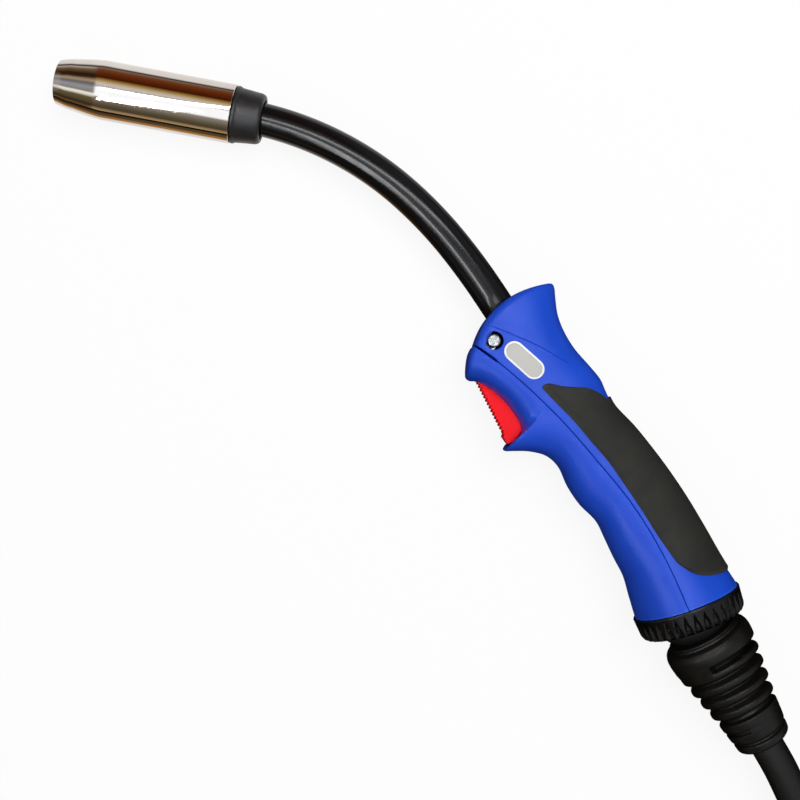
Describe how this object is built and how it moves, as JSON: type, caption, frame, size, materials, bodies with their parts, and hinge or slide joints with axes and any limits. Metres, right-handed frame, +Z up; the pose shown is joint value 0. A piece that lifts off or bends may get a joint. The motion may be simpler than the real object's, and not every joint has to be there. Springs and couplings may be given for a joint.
{
  "type": "mig welding torch",
  "caption": "Hand-held air-cooled MIG welding torch: swan neck with gas nozzle, pistol handle with trigger, ball swivel, coiled cable and central connector.",
  "frame": {"origin": "centre of the bottom of the torch's box on the bench it lies on, without the free cable", "axes": "+X towards the gas nozzle, +Y towards the trigger's side, +Z up, square to the bench"},
  "size_m": [0.7355, 0.2354, 0.0519],
  "materials": {
    "handle_blue": "satin moulded polyamide",
    "grip_rubber": "soft, finely grained",
    "badge_grey": "satin, bare",
    "zinc_steel": "bright zinc plated",
    "spring_steel": "drawn wire",
    "black_plastic": "moulded, slightly glossy",
    "connector_black": "moulded, satin",
    "neck_black": "semi-gloss insulating sleeve",
    "brass": "machined",
    "copper": "machined copper alloy",
    "nozzle_chrome": "polished chromium plate, warm reflections",
    "white_insulator": "moulded, off-white",
    "trigger_red": "satin gloss",
    "plunger_red": "moulded",
    "lead_red": "insulated wire",
    "cable_rubber": "matt black rubber",
    "strap_black": "woven hook-and-loop",
    "seal_rubber": "smooth",
    "contact_gold": "gold plated"
  },
  "bodies": {
    "cable_side": {"bend_boot": "cable_rubber", "cable_entry": "cable_rubber", "cable": "cable_rubber", "cable_coil": "cable_rubber", "coil_ties": "strap_black", "cable_tail": "cable_rubber", "plug_cable_end": "cable_rubber", "plug_boot": "cable_rubber", "plug_shell_top": "connector_black", "plug_shell_bottom": "connector_black", "plug_screws": "zinc_steel", "plug_body": "brass", "plug_insulator": "black_plastic", "spigot_o_ring": "seal_rubber", "contact_spring_near": "spring_steel", "contact_spring_far": "spring_steel"},
    "ball": {"swivel_ball": "black_plastic"},
    "liner": {"socket_liner": "white_insulator"},
    "handle": {"handle_upper_shell": "handle_blue", "handle_lower_shell": "handle_blue", "soft_grip": "grip_rubber", "badge_plate": "badge_grey", "handle_screw": "zinc_steel", "screw_nut": "zinc_steel", "thread_ring": "handle_blue", "neck_holder": "black_plastic", "neck_block": "brass", "neck_sheath": "neck_black", "neck_tube": "brass", "wire_liner": "spring_steel", "neck_collar": "black_plastic", "nozzle_spring": "spring_steel", "gas_diffuser": "white_insulator", "tip_holder": "copper", "contact_tip": "copper", "trigger_pin": "zinc_steel", "trigger_spring": "spring_steel", "switch_carrier": "black_plastic", "microswitch": "black_plastic", "switch_leads": "lead_red", "power_lead": "cable_rubber"},
    "handle_ring_nut": {"handle_nut": "black_plastic"},
    "nozzle": {"gas_nozzle": "nozzle_chrome"},
    "trigger_lever": {"trigger": "trigger_red"},
    "plunger": {"switch_plunger": "plunger_red"},
    "connector_nut": {"union_nut": "connector_black"},
    "near_contact": {"contact_pin_near": "contact_gold"},
    "far_contact": {"contact_pin_far": "contact_gold"}
  },
  "joints": [
    {"name": "cable_turn", "type": "hinge", "parent": "cable_side", "child": "ball", "pos_m": [-0.1581, 0.0172, 0.02609], "axis": [0.9509, -0.309, 0.0175], "range_deg": [-90, 90]},
    {"name": "ball_swing", "type": "hinge", "parent": "ball", "child": "liner", "pos_m": [-0.1581, 0.0172, 0.02609], "axis": [0.0299, -0.0945, 0.9951], "range_deg": [-5.5, 24.5]},
    {"name": "handle_turn", "type": "hinge", "parent": "liner", "child": "handle", "pos_m": [-0.1581, 0.0172, 0.02609], "axis": [0.8853, -0.4597, -0.0702], "range_deg": [-90, 90]},
    {"name": "handle_nut_turn", "type": "hinge", "parent": "handle", "child": "handle_ring_nut", "pos_m": [-0.1581, 0.0172, 0.02609], "axis": [-0.8853, 0.4597, 0.0702], "continuous": true},
    {"name": "nozzle_pull", "type": "slide", "parent": "handle", "child": "nozzle", "axis": [0.8537, 0.5202, 0.0237], "range_m": [0, 0.09]},
    {"name": "trigger_squeeze", "type": "hinge", "parent": "handle", "child": "trigger_lever", "pos_m": [-0.01721, -0.00012, 0.02022], "axis": [0.0299, -0.0945, 0.9951], "range_deg": [0, 7], "stiffness_Nm_per_rad": 0.4, "springref_deg": -8.59},
    {"name": "plunger_press", "type": "slide", "parent": "handle", "child": "plunger", "axis": [-0.0028, -0.9955, -0.0944], "range_m": [0, 0.0015]},
    {"name": "connector_nut_turn", "type": "hinge", "parent": "cable_side", "child": "connector_nut", "pos_m": [-0.304, -0.118, 0.0235], "axis": [1, 0, 0], "continuous": true},
    {"name": "near_contact_press", "type": "slide", "parent": "cable_side", "child": "near_contact", "axis": [-1, 0, 0], "range_m": [0, 0.0025], "stiffness_N_per_m": 400, "springref_m": -0.002, "deforming": ["contact_spring_near"]},
    {"name": "far_contact_press", "type": "slide", "parent": "cable_side", "child": "far_contact", "axis": [-1, 0, 0], "range_m": [0, 0.0025], "stiffness_N_per_m": 400, "springref_m": -0.002, "deforming": ["contact_spring_far"]}
  ],
  "couplings": [
    {"joint": "plunger_press", "follows": "trigger_squeeze", "m_per_rad": 0.0119}
  ]
}
